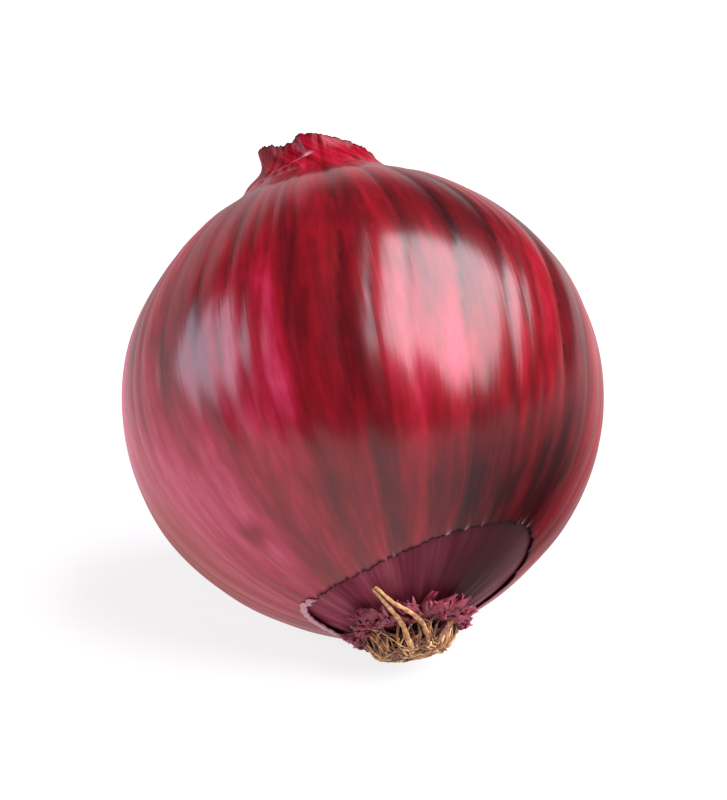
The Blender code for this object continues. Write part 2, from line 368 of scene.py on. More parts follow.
def painted(material, base, layers):
    """The base colour with layers over it, each a share, a hex colour and a blend type."""
    for share, hexadecimal, blend in layers:
        settings = {"data_type": "RGBA", "blend_type": blend}
        base = add_node(
            material, "Mix", 2, settings, in_0=share, in_6=base, in_7=colour(hexadecimal)
        )
    return base


print("crimson in linear light:", [round(part, 3) for part in colour("#A22440")])

# %% [markdown]
# ## The dry outer skin: its finish
#
# Red onion skin is a dried leaf: a film a tenth of a millimetre thick, dyed crimson in long cells
# that run from root to neck. Light passes into the film and comes back red, and the film's waxy
# face adds a soft white gloss on top. So the finish is a saturated base colour, broken into
# streaks of four widths, under a coat of wax that is thin where the skin has gone dull.

# %% Dry outer skin material
def dry_skin_material():
    """Dried onion leaf: clear crimson in long streaks, under a soft gloss that veins break up."""
    material = new_material(
        "dry_red_onion_skin",
        IOR=1.45,
        Specular_IOR_Level=0.0,
        Coat_Roughness=0.24,
        Coat_IOR=1.8,
    )
    names = ("dye_and_painted_light", "tan", "pale", "inside", "brown", "dull")
    dye_and_painted_light, tan, pale, inside, brown, dull = (
        add_node(material, "Attribute", "Fac", {"attribute_name": name}) for name in names
    )
    bands = streaks(material, 6.5 * MM, 46.0 * MM, 2.0, 3.1)  # where veins lie close together
    mottle = streaks(material, 1.8 * MM, 6.0 * MM, 3.0, 5.7)  # patches of cells with more dye
    veins = streaks(material, 1.15 * MM, 38.0 * MM, 3.0, 7.7)  # single veins
    # Rows of cells are 0.05 mm wide. They are drawn as coarse as they need to be to show.
    hairs = streaks(material, 0.43 * MM, 22.0 * MM, 2.0, 11.3)
    # This per-point number holds the dye's streaks and blotches, and also painted shade and painted
    # light.
    tone = weighted(
        material, -0.03, ((dye_and_painted_light, 0.17), (bands, 0.55), (mottle, 0.38), (veins, 0.11))
    )
    pigment = add_node(
        material,
        "ValToRGB",
        stops=(
            (0.02, "#260306"),
            (0.28, "#54050D"),
            (0.44, "#700814"),
            (0.56, "#880E24"),
            (0.70, "#A22440"),
            (0.90, "#BC4A64"),
        ),
        fac=tone,
    )
    smooth = {"interpolation_type": "SMOOTHSTEP"}
    in_vein = add_node(
        material, "MapRange", 0, smooth, value=veins, from_min=0.42, from_max=0.28, to_max=0.10
    )
    on_hair = add_node(
        material, "MapRange", 0, smooth, value=hairs, from_min=0.60, from_max=0.74, to_max=0.05
    )
    finish = painted(
        material,
        pigment,
        (
            (in_vein, "#7A3A40", "MULTIPLY"),
            (on_hair, "#A8324A", "MIX"),
            (tan, "#8E4038", "MIX"),
            # Pale: the lip's inner face, and a painted highlight along the neck's fold.
            (pale, "#D89CA8", "MIX"),
            (inside, "#B4808A", "MIX"),
            # Brown: the dry edges' own colour, laid on at the tear as a painted shadow line too.
            (brown, "#1E0708", "MIX"),
        ),
    )
    gloss = add_node(
        material, "MapRange", value=bands, from_min=0.35, from_max=0.65, to_min=0.30, to_max=0.44
    )
    wax = add_node(material, "MapRange", value=dull, to_min=0.52, to_max=0.03)
    ridges = weighted(material, 0.0, ((veins, 1.0), (hairs, 0.3)))
    bump = add_node(material, "Bump", height=ridges, distance=0.12 * MM, strength=0.3)
    feed_shader(
        material,
        Base_Color=finish,
        Roughness=gloss,
        Coat_Weight=wax,
        Normal=bump,
        Coat_Normal=bump,
    )
    return material


DRY_SKIN = dry_skin_material()
print(DRY_SKIN.name, "has", len(DRY_SKIN.node_tree.nodes), "nodes")

# %% [markdown]
# ## The dry outer skin: its shape
#
# The skin is one sheet from the torn edge at the roots to the ragged collar of the neck. Its lower
# edge climbs where a strip was torn off, and at the left of the tear the sheet has dried and rolled
# outwards, showing its pale inner face. The sheet gets its wall by going up the outside and back
# down the inside in one closed ring of rows.

# %% The torn lower edge and the rim of the neck
TEAR = np.array(
    [
        (-106.0, SKIN_END_RADIUS),
        (-86.0, 12.0 * MM),
        (-66.0, 16.3 * MM),
        (-42.0, 17.3 * MM),
        (-16.0, 18.1 * MM),
        (10.0, 20.5 * MM),
        (34.0, 23.0 * MM),
        (62.0, 24.0 * MM),
        (90.0, 20.0 * MM),
        (112.0, 13.0 * MM),
        (128.0, SKIN_END_RADIUS),
    ]
)
FILM = 0.16 * MM  # thickness of the dried leaf
ROLL_RADIUS = 0.4 * MM  # of the lip beside the tear
ROLL_LENGTH = 1.6 * MM


def tear_radius(longitude):
    """How far from the axis the skin is torn, with small bites along the edge."""
    knots, radii = TEAR.T
    smooth = smooth_through(knots, radii, np.clip(longitude, knots[0], knots[-1]))
    bites = 0.28 * MM * waves(longitude, 5, 25, 140, 0.3) + 0.35 * MM * waves(longitude, 6, 4, 18)
    return np.maximum(smooth, SKIN_END_RADIUS * 0.98) + bites


# The fold that winds up the neck, as points of (height, longitude).
FOLD_HEIGHTS = np.array([36.3, 37.3, 39.8, 44.5]) * MM
FOLD_LONGITUDES = np.array([-66.0, -49.0, -9.0, -22.0])


def from_fold(longitude, height):
    """Degrees to the right of the fold that winds up the neck."""
    return degrees_from(longitude, np.interp(height, FOLD_HEIGHTS, FOLD_LONGITUDES))


def collar_crease(longitude, height):
    """Which side of the fold a point of the neck is on: +1 just right of it, -1 just left."""
    turned = from_fold(longitude, height)
    return np.tanh(turned / 4.0) * np.exp(-np.abs(turned) / 34.0)


def rim_height(longitude):
    """A slanting cut through the neck, with a dip at its front left."""
    across, _ = out_from_axis(longitude)
    dip = NECK_DIP * np.exp(-(((longitude + 38.0) / 20.0) ** 2))
    return UPPER + NECK_LENGTH - NECK_SLANT * across - dip


def ragged_rim(longitude):
    """The rim with a few broad steps and many small nicks."""
    rough = 0.22 * MM * waves(longitude, 21, 3, 9) + 0.26 * MM * waves(longitude, 22, 14, 90, 0.6)
    return rim_height(longitude) + rough + 0.3 * MM * collar_crease(longitude, 44.0 * MM)


print("the tear reaches", round(TEAR[:, 1].max() / MM, 1), "mm from the axis")

# %% [markdown]
# ### Panels
#
# The dry leaf is stiffer along its thick veins. Between two of them it arches a little, so that a
# reflection breaks at each vein, and each such panel has dried to its own shade.

# %% Panels between the thick veins
VEIN_PICKS = np.random.default_rng(35)
VEINS = np.concatenate(([0.0], np.cumsum(VEIN_PICKS.uniform(4.0, 13.0, 42))))
VEINS = VEINS * 360.0 / VEINS[-1]
ARCH = 1 / 40
PANEL_SHADES = VEIN_PICKS.uniform(-0.85, 1.0, len(VEINS))


def drifted(share, longitude):
    """Longitudes counted from veins that wander a little on their way to the neck."""
    return longitude + 3.0 * np.sin(5.0 * share) + 1.1 * np.sin(17.0 * share)


def panels(share, longitude):
    """Which panel each point is in, and how far across it, from 0 to 1."""
    place = np.interp(drifted(share, longitude) % 360.0, VEINS, np.arange(len(VEINS)))
    panel = np.minimum(place.astype(int), len(VEINS) - 2)
    return panel, place - panel


def panel_arch(share, longitude):
    """A parabola across each panel, which rises to ARCH of the panel's width."""
    panel, across = panels(share, longitude)
    width = np.radians(np.diff(VEINS)[panel]) * HALF
    return ARCH * width * 4.0 * across * (1.0 - across)


def panel_dye(share, longitude):
    """Each panel's own shade, with a thin dark line along each vein."""
    panel, across = panels(share, longitude)
    from_vein = np.minimum(across, 1.0 - across) * np.diff(VEINS)[panel]
    return PANEL_SHADES[panel] - 0.7 * np.exp(-((from_vein / 0.8) ** 2))


print(len(VEINS) - 1, "panels round the onion")


# %% [markdown]
# ### Flutes and folds
#
# What the leaf does at a larger scale is a height above the outline: flutes and dents on the body,
# and at the neck a slanting fold, pleats that twist as they rise, and a foot that flares out.

# %% How far the skin stands out
def flutes(share, longitude):
    """How far the skin stands out or in: long shallow flutes that fade at both ends."""
    drift = drifted(share, longitude)
    deep = 0.12 * MM * waves(drift, 31, 7, 26, 0.7) + panel_arch(share, longitude)
    fine = 0.02 * MM * waves(drift, 32, 30, 110, 0.4)
    dents = 0.12 * MM * waves(longitude + 50 * share, 33, 3, 8) * np.sin(9.0 * share + 1.0)
    return (deep + fine + dents) * fade(share, 0.02, 0.2) * (1 - 0.5 * fade(share, 0.85, 0.97))


def neck_folds(share, longitude):
    """The collar's slanting fold, its flared left foot, and pleats that twist as they rise."""
    height = outline(share)[..., 1] + 0.0 * longitude
    rise = np.clip((height - UPPER * 0.92) / (NECK_LENGTH + UPPER * 0.08), 0.0, 1.3)
    pleats = 0.2 * MM * waves(longitude + 40.0 * rise, 41, 6, 18, 0.6) * rise**1.2
    fold = 0.45 * MM * collar_crease(longitude, height) * fade(rise, 0.1, 0.45)
    turned = degrees_from(longitude, -98.0)
    flare = np.exp(-((turned / 46.0) ** 2) - ((height - 38.2 * MM) / (2.9 * MM)) ** 2)
    return pleats + fold + 2.0 * MM * flare


print("flutes stand out", round(flutes(0.5, np.arange(360.0)).max() / MM, 2), "mm at the most")

# %% [markdown]
# ### Dye, with painted shade and painted light
#
# The dye is not even. It runs in streaks from root to neck, and it has blotches where the leaf was
# bruised or dried early. Over the dye lie painted shade and painted light: a painted shadow low on
# the right, painted shade round the shoulder and under the big highlight on the front right, and
# painted light on the left side. Each point of the skin gets one number for all of that, which the
# material adds to its own fine streaks.

# %% How dark or pale the dye is
# Streaks at the front: middle and half width in degrees, and strength, dark below zero.
FRONT_STREAKS = (
    (-5.0, 8.5, -0.75),
    (-14.0, 1.5, -0.7),
    (-20.0, 3.5, 0.2),
    (-26.0, 1.8, -0.6),
    (-32.0, 3.0, 0.15),
    (-37.5, 1.8, -0.6),
    (-43.0, 3.0, 0.3),
    (-48.5, 2.2, -0.6),
    (-57.0, 4.0, 0.3),
    (-66.0, 2.5, -0.5),
    (-80.0, 6.0, 0.3),
    (11.0, 3.5, 0.45),
    (17.5, 1.2, -0.4),
    (24.0, 4.0, 0.4),
    (31.0, 1.3, -0.35),
    (38.0, 4.0, 0.5),
    (46.0, 1.6, -0.4),
    (52.0, 3.0, 0.1),
    (62.0, 6.0, -0.7),
    (78.0, 5.0, -0.35),
)


def dye(share, longitude):
    """The streaks as bell curves that wander and come and go, plus the panels' own shades."""
    picks = np.random.default_rng(17)
    back_streaks = [
        (middle + picks.uniform(-3, 3), picks.uniform(1.2, 5.0), picks.uniform(-0.7, 0.5))
        for middle in np.arange(90.0, 272.0, 7.0)
    ]
    total = 0.0 * share * longitude
    for middle, width, strength in [*FRONT_STREAKS, *back_streaks]:
        turned = degrees_from(longitude, middle + 1.2 * np.sin(6.0 * share + middle))
        alive = 0.75 + 0.35 * np.sin(8.0 * share + 1.7 * middle)
        total = total + strength * alive * np.exp(-((turned / width) ** 2))
    total = total + panel_dye(share, longitude) * (0.4 + 0.6 * fade(share, 0.3, 0.52))
    return total * (1 - 0.7 * fade(share, 0.86, 0.94)) * (0.45 + 0.55 * fade(share, 0.2, 0.45))


print(len(FRONT_STREAKS), "streaks placed at the front")


# %% Blotches, painted shade and painted light
def spot(share, longitude, middle, width, at_share, length):
    """A round-edged patch: 1 in its middle, falling off as a bell curve both ways."""
    turned = degrees_from(longitude, middle)
    return np.exp(-((turned / width) ** 2) - ((share - at_share) / length) ** 2)


# Patches: strength, middle and half width in degrees, place and length as shares of the outline.
# Most are blotches of dye. Some are painted shade and painted light, marked as such.
BLOTCHES_AND_PAINTED_LIGHT = (
    (-1.7, -46.0, 4.5, 0.245, 0.02),  # a bruise on the lower left
    (-2.7, 46.0, 34.0, 0.21, 0.15),  # painted shadow, low on the right
    (-0.5, -6.0, 24.0, 0.24, 0.10),
    (-0.8, -50.0, 15.0, 0.52, 0.10),
    (1.3, -88.0, 26.0, 0.52, 0.16),  # painted light: the left side paler, with the next two lines
    (1.3, -66.0, 26.0, 0.73, 0.12),
    (2.0, -68.0, 44.0, 0.32, 0.20),
    (-1.1, 30.0, 26.0, 0.60, 0.16),  # painted shade under the big highlight on the front right
    (-0.9, -9.0, 7.0, 0.50, 0.12),
    (-0.6, -16.0, 16.0, 0.31, 0.08),
    (-0.6, 54.0, 12.0, 0.55, 0.20),
    (1.1, 24.0, 9.0, 0.42, 0.06),
)
SMALL_BLOTCHES = 22


def stains_and_painted_light(share, longitude):
    """The patches, small dark spots here and there, and a painted shade round the shoulder,
    strongest at the front right.
    """
    # Painted shade: the shoulder is darker, most at the front right, where the right soft box falls
    # strongest.
    front_right = 0.25 + 0.75 * spot(share, longitude, 30.0, 70.0, 0.7, 9.0)
    shoulder = fade(share, 0.52, 0.72) * (1 - fade(share, 0.84, 0.92))
    total = -1.0 * shoulder * front_right
    for strength, *patch in BLOTCHES_AND_PAINTED_LIGHT:
        total = total + strength * spot(share, longitude, *patch)
    picks = np.random.default_rng(23)
    for _ in range(SMALL_BLOTCHES):
        middle, at_share = picks.uniform(-180, 180), picks.uniform(0.2, 0.85)
        width, length = picks.uniform(1.0, 4.0), picks.uniform(0.01, 0.04)
        strength = picks.uniform(0.2, 0.6)
        total = total - strength * spot(share, longitude, middle, width, at_share, length)
    return total


print(len(BLOTCHES_AND_PAINTED_LIGHT) + SMALL_BLOTCHES, "blotches")

# %% [markdown]
# ### Wear, a painted highlight and a painted shadow line
#
# The skin is brown and brittle where it tore, and that edge is darkened further into a painted
# shadow line. It is pale where the lip is rubbed, and a painted highlight runs along the neck's
# fold. Its wax is thin on the neck and low on the right, so these places shine less.

# %% Where the skin is brown, pale or dull, with a painted highlight and a painted shadow line
RIM_BROWN, TEAR_BROWN_AND_SHADOW, WORN_LIP = 0.35 * MM, 0.6 * MM, 0.5 * MM  # how far in each reaches
DULL_PATCHES = (  # in the same terms as the blotches
    (1.0, 60.0, 40.0, 0.20, 0.22),
    (0.6, -105.0, 30.0, 0.30, 0.14),
    (0.45, -70.0, 34.0, 0.74, 0.16),
)


def fold_painted_highlight(share, longitude):
    """A painted highlight along the neck's fold, which fades out at the left shoulder."""
    height = outline(share)[..., 1] + 0.0 * longitude
    along = fade(height, 36.4 * MM, 38.8 * MM) * (1 - fade(height, 39.8 * MM, 40.6 * MM))
    along = along * fade(np.abs(longitude + 90.0), 25.0, 50.0)
    return np.exp(-((from_fold(longitude, height) / 4.2) ** 2)) * along


def wear_and_painted_light(share, longitude, from_tear, from_rim, rolled):
    """Shares of brown, pale and dull, from how far the point is from the tear and from the rim."""
    chips = np.clip(3.0 * waves(longitude, 12, 30, 120, 0.0) - 1.1, 0.0, 1.0)
    brown = 0.8 * np.exp(-from_rim / RIM_BROWN)
    # At the tear the dark edge is partly the dry edge's own brown and partly a painted shadow line.
    brown = brown + 0.95 * np.exp(-((from_tear / TEAR_BROWN_AND_SHADOW) ** 2)) * (1 - rolled) * (1 - chips)
    rubbed = np.maximum(0.4 * chips, rolled * (0.8 + 0.3 * waves(longitude, 13, 20, 90, 0.0)))
    lip = np.exp(-from_tear / WORN_LIP) * rubbed
    # Pale is the lip's rubbed inner face and the edge's chips, and also the painted highlight on the
    # neck's fold.
    pale = np.clip(np.maximum(fold_painted_highlight(share, longitude), lip), 0.0, 1.0)
    dull = 0.75 * fade(share, 0.88, 0.95) * (1 - pale)
    for strength, *patch in DULL_PATCHES:
        dull = np.maximum(dull, strength * spot(share, longitude, *patch))
    return brown, pale, np.maximum(dull, np.minimum(brown, 1.0))


print("the brown edge is", round(TEAR_BROWN_AND_SHADOW / MM, 1), "mm wide")

# %% [markdown]
# ### The sheet and its rolled lip
#
# The lip is the sheet's own lower end. Past the fold a point doesn't go on down the outline, but
# round a small circle that starts there, so the lip stays as long as it was when it lay flat.

# %% The outer skin as a closed ring of rows
def rolled_sheet(share, longitude, low, roll):
    """The outer face, where what is past the fold goes round a circle of ROLL_RADIUS."""
    past_fold = np.clip(roll - (share - low) * OUTLINE_LENGTH, 0.0, None)
    flat_share = share + past_fold / OUTLINE_LENGTH
    lying = fade(longitude, -52.0, -34.0)  # the edge stands off only at the left of the tear
    edge = (0.25 - 0.5 * lying) * MM * np.exp(-(share - low) * OUTLINE_LENGTH / (1.8 * MM))
    lift = flutes(flat_share, longitude) + neck_folds(flat_share, longitude)
    lift = lift + edge * (1 + 0.5 * waves(longitude, 9, 3, 40, 0.5))
    sheet = surface(flat_share, longitude, lift)
    down = surface(flat_share - 2e-3, longitude, lift) - sheet
    down /= np.linalg.norm(down, axis=-1, keepdims=True)
    angle = (past_fold / ROLL_RADIUS)[..., None]
    circle = down * np.sin(angle) + normals_of(sheet) * (1 - np.cos(angle))
    return sheet + ROLL_RADIUS * circle


def make_outer_skin():
    """Rows close together at both ends, up the outside and back down the inside."""
    longitude = np.arange(360.0)[None, :] - 180.0
    rolled = fade(longitude, -108, -92) * (1 - fade(longitude, -60, -46))
    roll = ROLL_LENGTH * rolled * (1 + 0.45 * waves(longitude, 8, 8, 60, 0.3))
    low = share_at_radius(tear_radius(longitude)) - 0.9 * roll / OUTLINE_LENGTH
    high = share_at_height(ragged_rim(longitude))
    along = np.concatenate(
        [
            np.linspace(0.0, 0.03, 22, endpoint=False),
            np.linspace(0.03, 0.9, 140, endpoint=False),
            np.linspace(0.9, 1.0, 38),
        ]
    )[:, None]
    share = low + along * (high - low)
    outer = rolled_sheet(share, longitude, low, roll)
    inner = outer - normals_of(outer) * FILM
    last = len(along) - 1
    kept = np.unique([*range(26), *range(26, 146, 10), *range(146, last, 2), last])[::-1]
    both = np.concatenate([np.arange(len(along)), kept])  # the outer rows, then the inner ones
    brown, pale, dull = wear_and_painted_light(
        share, longitude, (share - low) * OUTLINE_LENGTH, (high - share) * OUTLINE_LENGTH, rolled
    )
    all_share = share[both]
    is_inner = (np.arange(len(both)) >= len(along))[:, None] + 0.0 * longitude
    marks = {
        "inside": is_inner,
        "dye_and_painted_light": dye(all_share, longitude) + stains_and_painted_light(all_share, longitude),
        "pale": pale[both],
        "dull": dull[both],
        "tan": spot(all_share, longitude, -92.0, 24.0, 0.30, 0.13),
        "brown": brown[both],
    }
    marks = {mark: values.reshape(-1, 1) for mark, values in marks.items()}
    marks["grain"] = grain_of(all_share, longitude + 50.0 * fade(all_share, 0.9, 1.0))
    piece = add_piece(
        "outer_skin_dry",
        laid_down(np.concatenate([outer, inner[kept]])),
        faces_of_grid(len(both), 360, ring=True).tolist(),
        DRY_SKIN,
        marks,
    )
    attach(piece, "root")
    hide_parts("outer_skin")


make_outer_skin()

# %% [markdown]
# ## The bulb under the tear
#
# The next leaf down is still fresh: dull purple, smooth, and drawn into pleats where it meets the
# root plate. It is the design's bulb with finer columns and those pleats, and a painted shade
# makes it near-black red on its right side.

# %% Fresh inner skin material
def inner_skin_material():
    """Fresh leaf, with no wax left on it: purple-brown and nearly matt, with a faint sheen."""
    material = new_material(
        "fresh_inner_onion_skin",
        IOR=1.38,
        Specular_IOR_Level=0.06,
        Roughness=0.5,
        Coat_Weight=0.04,
        Coat_Roughness=0.35,
    )
    painted_shade = add_node(material, "Attribute", "Fac", {"attribute_name": "painted_shade"})
    broad = streaks(material, 9.8 * MM, 19.5 * MM, 2.0, 2.2)
    veins = streaks(material, 1.3 * MM, 22.0 * MM, 3.0, 5.5)
    pigment = add_node(
        material,
        "ValToRGB",
        stops=((0.3, "#5A1C2E"), (0.45, "#762A3C"), (0.55, "#883A4A"), (0.7, "#9C5262")),
        fac=weighted(material, 0.0, ((broad, 0.6), (veins, 0.4))),
    )
    bump = add_node(material, "Bump", height=veins, distance=0.1 * MM, strength=0.4)
    # Painted shade: near-black red over the right side of the bulb.
    finish = painted(material, pigment, ((painted_shade, "#220406", "MIX"),))
    feed_shader(material, Base_Color=finish, Normal=bump)
    return material


INNER_SKIN = inner_skin_material()
print(INNER_SKIN.name, "made")

# %% Bulb
BULB_COLUMNS = 240
LID_RADII = np.array([0.75, 0.45, 0.15, 0.02])  # rings of a lid, as shares of the last row's radius
LID_HEIGHT = 1.6 * MM


def make_bulb():
    """The outline, one gap further in, with pleats near the roots and a lid on each end."""
    longitude = np.arange(BULB_COLUMNS)[None, :] * 360.0 / BULB_COLUMNS - 180.0
    shoulder = share_at_height(UPPER * 0.96)
    near_root, further = np.linspace(0, 0.2, 60, endpoint=False), np.linspace(0.2, shoulder, 70)
    share = np.concatenate([near_root, further])[:, None]
    pleats = 0.22 * MM * waves(longitude, 51, 14, 48, 0.3) * (1 - fade(share, 0.0, 0.13))
    rows = surface(share, longitude, -SKIN_GAP + pleats)
    narrowing = np.stack([LID_RADII, LID_RADII, np.ones(4)], axis=-1)[:, None, :]
    top, bottom = rows[-1:] * narrowing, rows[:1] * narrowing
    top[..., 2] += (1 - LID_RADII[:, None] ** 2) * LID_HEIGHT
    rows = np.concatenate([bottom[::-1], rows, top])
    shares = np.concatenate([np.zeros((4, 1)), share, np.full((4, 1), shoulder)])
    piece = add_piece(
        "bulb_fresh",
        laid_down(rows, SKIN_GAP),
        capped_faces(len(rows), BULB_COLUMNS),
        INNER_SKIN,
        {
            "grain": grain_of(shares, longitude),
            # Painted shade, strongest on the right near the roots.
            "painted_shade": (0.95 * spot(shares, longitude, 55.0, 60.0, 0.05, 0.6)).reshape(-1, 1),
        },
    )
    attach(piece, "root")
    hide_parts("bulb")


make_bulb()

# %% [markdown]
# ## The dry leaf ends in the neck
#
# Each leaf that fed the bulb leaves a dry stump in the neck. They nest like paper cones: thin,
# creased, ragged at the rim and leaning in on each other.

# %% Neck leaf material
def neck_leaf_material():
    """Dried leaf without wax: dark red-brown, rough, with a dusty sheen where it turns away."""
    material = new_material(
        "dry_neck_leaf",
        IOR=1.45,
        Roughness=0.5,
        Coat_Weight=0.2,
        Coat_Roughness=0.3,
        Sheen_Weight=0.2,
    )
    brown = add_node(material, "Attribute", "Fac", {"attribute_name": "brown"})
    veins = streaks(material, 1.15 * MM, 3.8 * MM, 3.0, 1.3)
    broad = streaks(material, 7.8 * MM, 9.8 * MM, 2.0, 8.3)
    pigment = add_node(
        material,
        "ValToRGB",
        stops=((0.3, "#2A060A"), (0.45, "#560D15"), (0.56, "#781821"), (0.7, "#94484E")),
        fac=weighted(material, 0.0, ((broad, 0.5), (veins, 0.5))),
    )
    bump = add_node(material, "Bump", height=veins, distance=0.15 * MM, strength=0.7)
    finish = painted(material, pigment, ((brown, "#4B1A18", "MIX"),))
    feed_shader(material, Base_Color=finish, Normal=bump)
    return material


NECK_LEAF = neck_leaf_material()
print(NECK_LEAF.name, "made")

# %% Neck leaves
LEAF_HEIGHTS = (-0.7 * MM, -1.6 * MM, -0.4 * MM)  # of each leaf's rim, from the skin's rim
LEAF_STEP = 1.9 * MM  # from one leaf to the next
LEAF_COLUMNS = 180


def make_neck_leaf(number):
    """A creased tube: its radius waves more and draws in as it rises to a ragged rim."""
    longitude = np.arange(LEAF_COLUMNS)[None, :] * 360.0 / LEAF_COLUMNS - 180.0
    rise = np.linspace(0.0, 1.0, 26)[:, None]
    foot = UPPER + 1.5 * MM
    steps, nicks = waves(longitude, 60 + number, 3, 9), waves(longitude, 70 + number, 12, 70, 0.6)
    ragged = 0.5 * MM * steps + 0.3 * MM * nicks
    across, away = out_from_axis(longitude)
    rim = rim_height(longitude) + LEAF_HEIGHTS[number - 1] + ragged
    radius = NECK_RADIUS - 1.0 * MM - (number - 1) * LEAF_STEP
    folds = 0.10 * waves(longitude, 80 + number, 2, 7, 0.7) * rise
    creases = 0.045 * waves(longitude + 12 * rise, 90 + number, 9, 30, 0.5) * rise
    radius = radius * (1 + folds + creases - 0.10 * number * rise**2)
    height = foot + rise * (rim - foot)
    rows = np.stack([radius * across, radius * away, height + 0 * radius], axis=-1)
    inner = rows - normals_of(rows) * FILM
    ring = np.concatenate([rows, inner[::-1]])
    brown = np.exp(-10.0 * (1 - rise)) + 0 * longitude
    share = 0.9 + 0.1 * rise
    piece = add_piece(
        f"neck_leaf_{number}_dry",
        laid_down(ring),
        faces_of_grid(len(ring), LEAF_COLUMNS, ring=True).tolist(),
        NECK_LEAF,
        {
            "grain": grain_of(np.concatenate([share, share[::-1]]), longitude),
            "brown": np.concatenate([brown, brown[::-1]]).reshape(-1, 1),
        },
    )
    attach(piece, "root")
    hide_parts(f"neck_leaf_{number}")


for number in (1, 2, 3):
    make_neck_leaf(number)

# %% [markdown]
# ## The root plate
#
# The plate is a disc of cork, rough where old roots broke off. A rounded profile is turned round
# the axis, and waves that drift as they go inwards make it lumpy.

# %% Root plate
def speckle(material, size, detail):
    """Noise in the object's own space, with spots of the given size in metres."""
    place = add_node(material, "TexCoord", "Object")
    return add_node(material, "TexNoise", "Fac", vector=place, scale=1.0 / size, detail=detail)


def cork_material():
    """Cork: dull brown, with dark pits and pale crumbs about a millimetre across."""
    material = new_material("corky_root_plate", IOR=1.45, Roughness=0.9)
    crumbs = speckle(material, 1.1 * MM, 4.0)
    stops = ((0.35, "#1E0E0A"), (0.5, "#4E2C1F"), (0.65, "#83583F"))
    pigment = add_node(material, "ValToRGB", stops=stops, fac=crumbs)
    bump = add_node(material, "Bump", height=crumbs, distance=0.4 * MM, strength=0.8)
    feed_shader(material, Base_Color=pigment, Normal=bump)
    return material


PLATE_COLUMNS = 120


def make_root_plate():
    """The profile is in plate radii and thicknesses, from the middle of one face to the other."""
    longitude = np.arange(PLATE_COLUMNS)[None, :] * 360.0 / PLATE_COLUMNS - 180.0
    inward = np.linspace(0.0, 1.0, 40)[:, None]
    knots = np.array([0.0, 0.3, 0.45, 0.6, 0.8, 1.0])
    side = np.array(
        [(0.03, 0.0), (0.87, 0.0), (1.0, -0.35), (0.86, -0.8), (0.5, -1.0), (0.03, -1.0)]
    )
    place = smooth_through(knots, side, inward[:, 0])[::-1]
    rough = 1 + 0.05 * waves(longitude + 40 * inward, 101, 4, 30, 0.4)
    radius = PLATE_RADIUS * place[:, :1] * rough
    bumps = 0.16 * MM * waves(longitude + 90 * inward, 102, 3, 18, 0.3) * np.sin(26 * inward)
    height = PLATE_TOP + PLATE_THICKNESS * place[:, 1:] + bumps * fade(-place[:, 1:], 0.1, 0.6)
    across, away = out_from_axis(longitude)
    rows = np.stack([radius * across, radius * away, height + 0 * radius], axis=-1)
    faces = capped_faces(len(rows), PLATE_COLUMNS)
    piece = add_piece("root_plate_cork", laid_down(rows), faces, cork_material(), {})
    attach(piece, "root")
    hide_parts("root_plate")


make_root_plate()

# %% [markdown]
# ## Scraps of torn skin round the roots
#
# Where older skins were pulled off, shreds stay on the plate's edge: small, crumpled, purple to
# pale pink. Each scrap of the design becomes a handful of shreds of uneven size.

# %% Scrap material
def scrap_material():
    """Torn dry leaf: crimson in the folds, dusty pink at the thin, bleached tips."""
    material = new_material(
        "torn_onion_skin_shred", IOR=1.45, Roughness=0.55, Coat_Weight=0.15, Coat_Roughness=0.35
    )
    tint = add_node(material, "Attribute", "Fac", {"attribute_name": "tint"})
    patches = speckle(material, 1.4 * MM, 3.0)
    pigment = add_node(
        material,
        "ValToRGB",
        stops=(
            (0.0, "#1E0508"),
            (0.3, "#520D1A"),
            (0.55, "#801E32"),
            (0.8, "#8E3C4E"),
            (1.0, "#A86A78"),
        ),
        fac=weighted(material, -0.45, ((tint, 1.0), (patches, 0.9))),
    )
    bump = add_node(material, "Bump", height=patches, distance=0.15 * MM, strength=0.5)
    feed_shader(material, Base_Color=pigment, Normal=bump)
    return material


SCRAP = scrap_material()
print(SCRAP.name, "made")

# %% Skin scraps
SCRAPS, SHREDS = 7, 18  # scraps round the plate, and shreds in each
ACROSS, ALONG = 9, 9  # grid lines of one shred
LONGEST_SHRED = 5.0 * MM


def shred(picks, middle, length, height):
    """A narrow sheet that starts by the plate and curls off the onion, crumpled as it goes."""
    along = np.linspace(0.0, 1.0, ALONG)[:, None]
    across = np.linspace(-0.5, 0.5, ACROSS)[None, :]
    width = picks.uniform(4.0, 12.0)
    taper = 1 - picks.uniform(0.0, 0.4) * along**1.4
    ragged = 1 + 0.3 * np.sin(picks.uniform(8, 16) * across + picks.uniform(0, 6)) * along
    radius = PLATE_RADIUS + 0.7 * MM + length * along * ragged
    longitude = middle + width * across * taper + picks.uniform(-24, 24) * along**2
    crumple = np.sin(picks.uniform(10, 18) * across + 9 * along + picks.uniform(0, 6))
    crumple = crumple * np.sin(picks.uniform(7, 12) * along + picks.uniform(0, 6))
    stands = picks.uniform(0.2, 1.5) * height * MM * along ** picks.uniform(0.8, 2.0)
    lift = 0.25 * MM + stands + 0.45 * MM * crumple * along**0.5
    return surface(share_at_radius(radius), longitude, lift)


